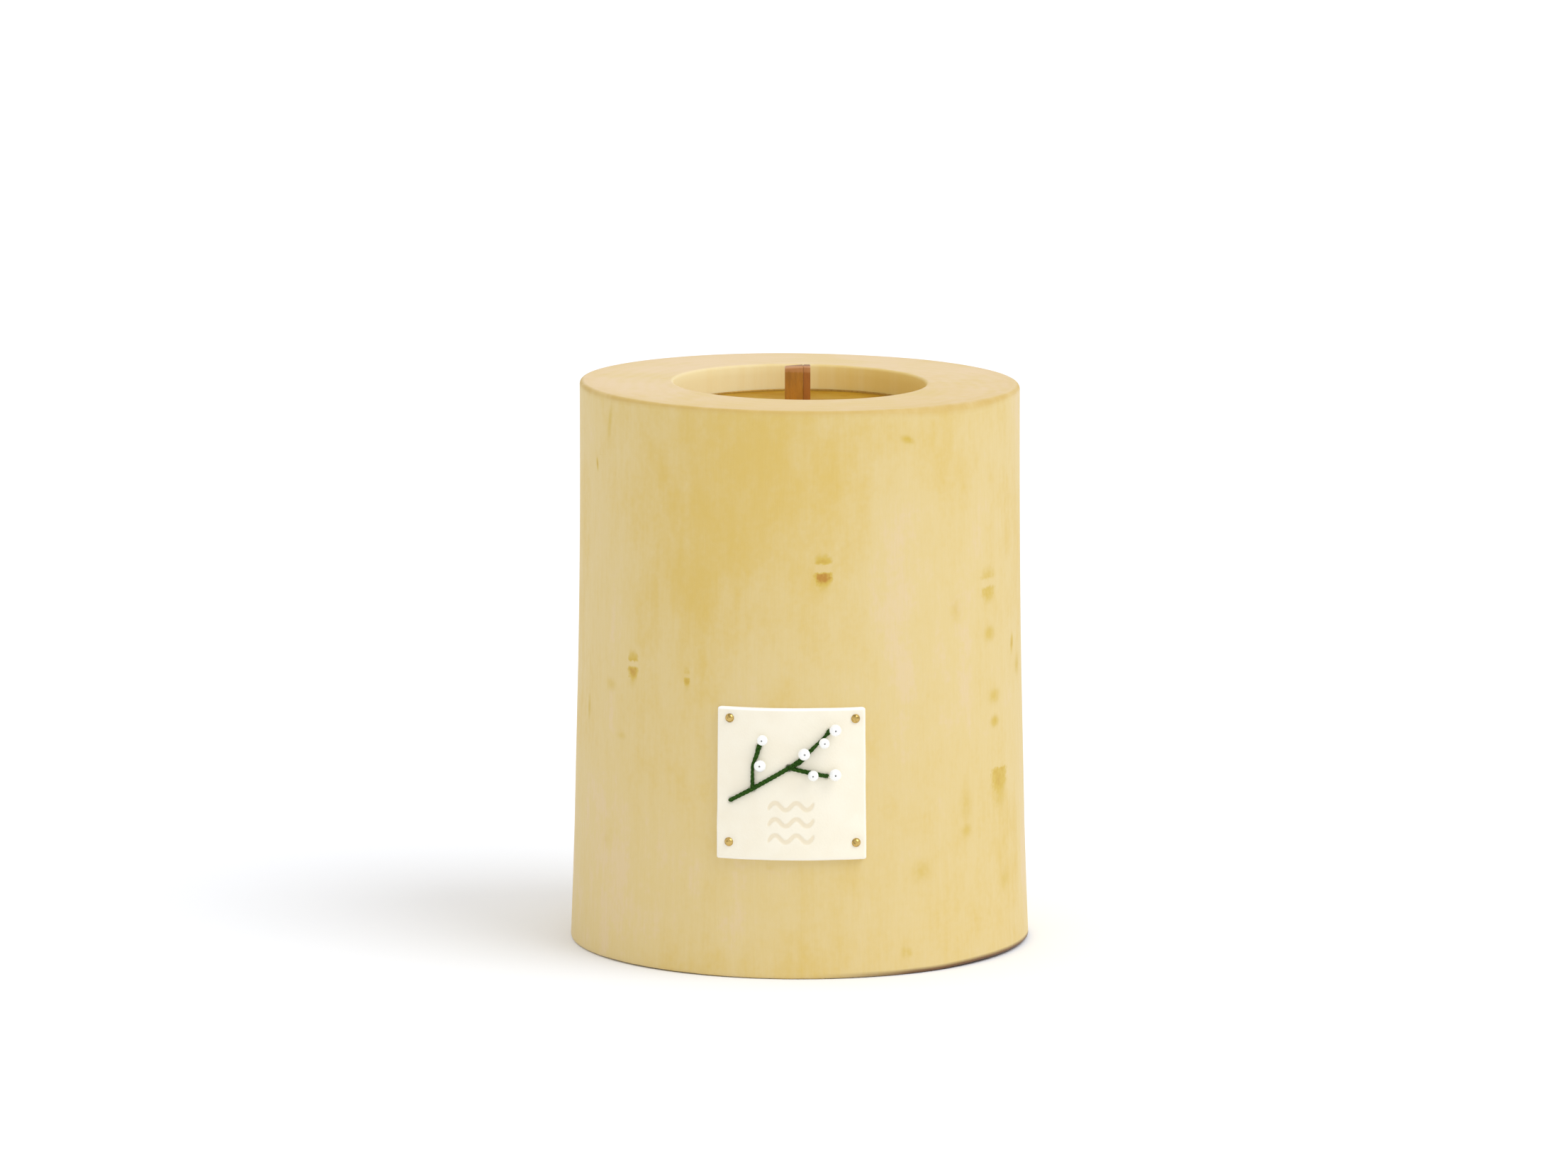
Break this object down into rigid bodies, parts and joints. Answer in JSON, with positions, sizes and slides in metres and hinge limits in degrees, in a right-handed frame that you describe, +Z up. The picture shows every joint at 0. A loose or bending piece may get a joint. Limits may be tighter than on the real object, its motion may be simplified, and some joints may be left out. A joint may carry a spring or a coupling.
{
  "type": "wooden candle holder",
  "caption": "Upright debarked log with a blind bore in its top that holds a lift-out wax candle in a metal cup, and a small pinned leather plaque with a stitched sprig and beads.",
  "frame": {"origin": "centre of the log's foot, on the surface it stands on", "axes": "+Z up along the log's axis, plaque on the -Y side, +X to the right as the plaque is looked at"},
  "size_m": [0.1088, 0.1125, 0.1365],
  "materials": {
    "bare_wood": "debarked and smooth, unvarnished, faint satin",
    "white_leather": "pearly white, fine grain, satin",
    "pin_brass": "slightly aged, semi-gloss",
    "green_cord": "twisted thread, matte",
    "white_bead": "glossy white",
    "cup_aluminium": "drawn, gold-lacquered, satin",
    "yellow_wax": "beeswax, satin; stands in for wax",
    "wick_wood": "waxed, semi-gloss",
    "wick_wood_dark": "waxed, semi-gloss",
    "clip_steel": "pressed sheet"
  },
  "bodies": {
    "holder": {"wood_body": "bare_wood", "leather_plaque": "white_leather", "pin_top_left": "pin_brass", "pin_top_right": "pin_brass", "pin_bottom_left": "pin_brass", "pin_bottom_right": "pin_brass", "stem_main": "green_cord", "stem_left_twig": "green_cord", "stem_upper_shoot": "green_cord", "stem_right_twig": "green_cord", "bead_left_tip": "white_bead", "bead_left_low": "white_bead", "bead_shoot_low": "white_bead", "bead_shoot_mid": "white_bead", "bead_shoot_tip": "white_bead", "bead_twig_mid": "white_bead", "bead_twig_tip": "white_bead"},
    "candle": {"candle_cup": "cup_aluminium", "candle_wax": "yellow_wax", "wick_strip": "wick_wood", "wick_booster": "wick_wood_dark", "wick_clip": "clip_steel"}
  },
  "joints": [
    {"name": "candle_lift", "type": "slide", "parent": "holder", "child": "candle", "axis": [0, 0, 1], "range_m": [0, 0.045]}
  ]
}
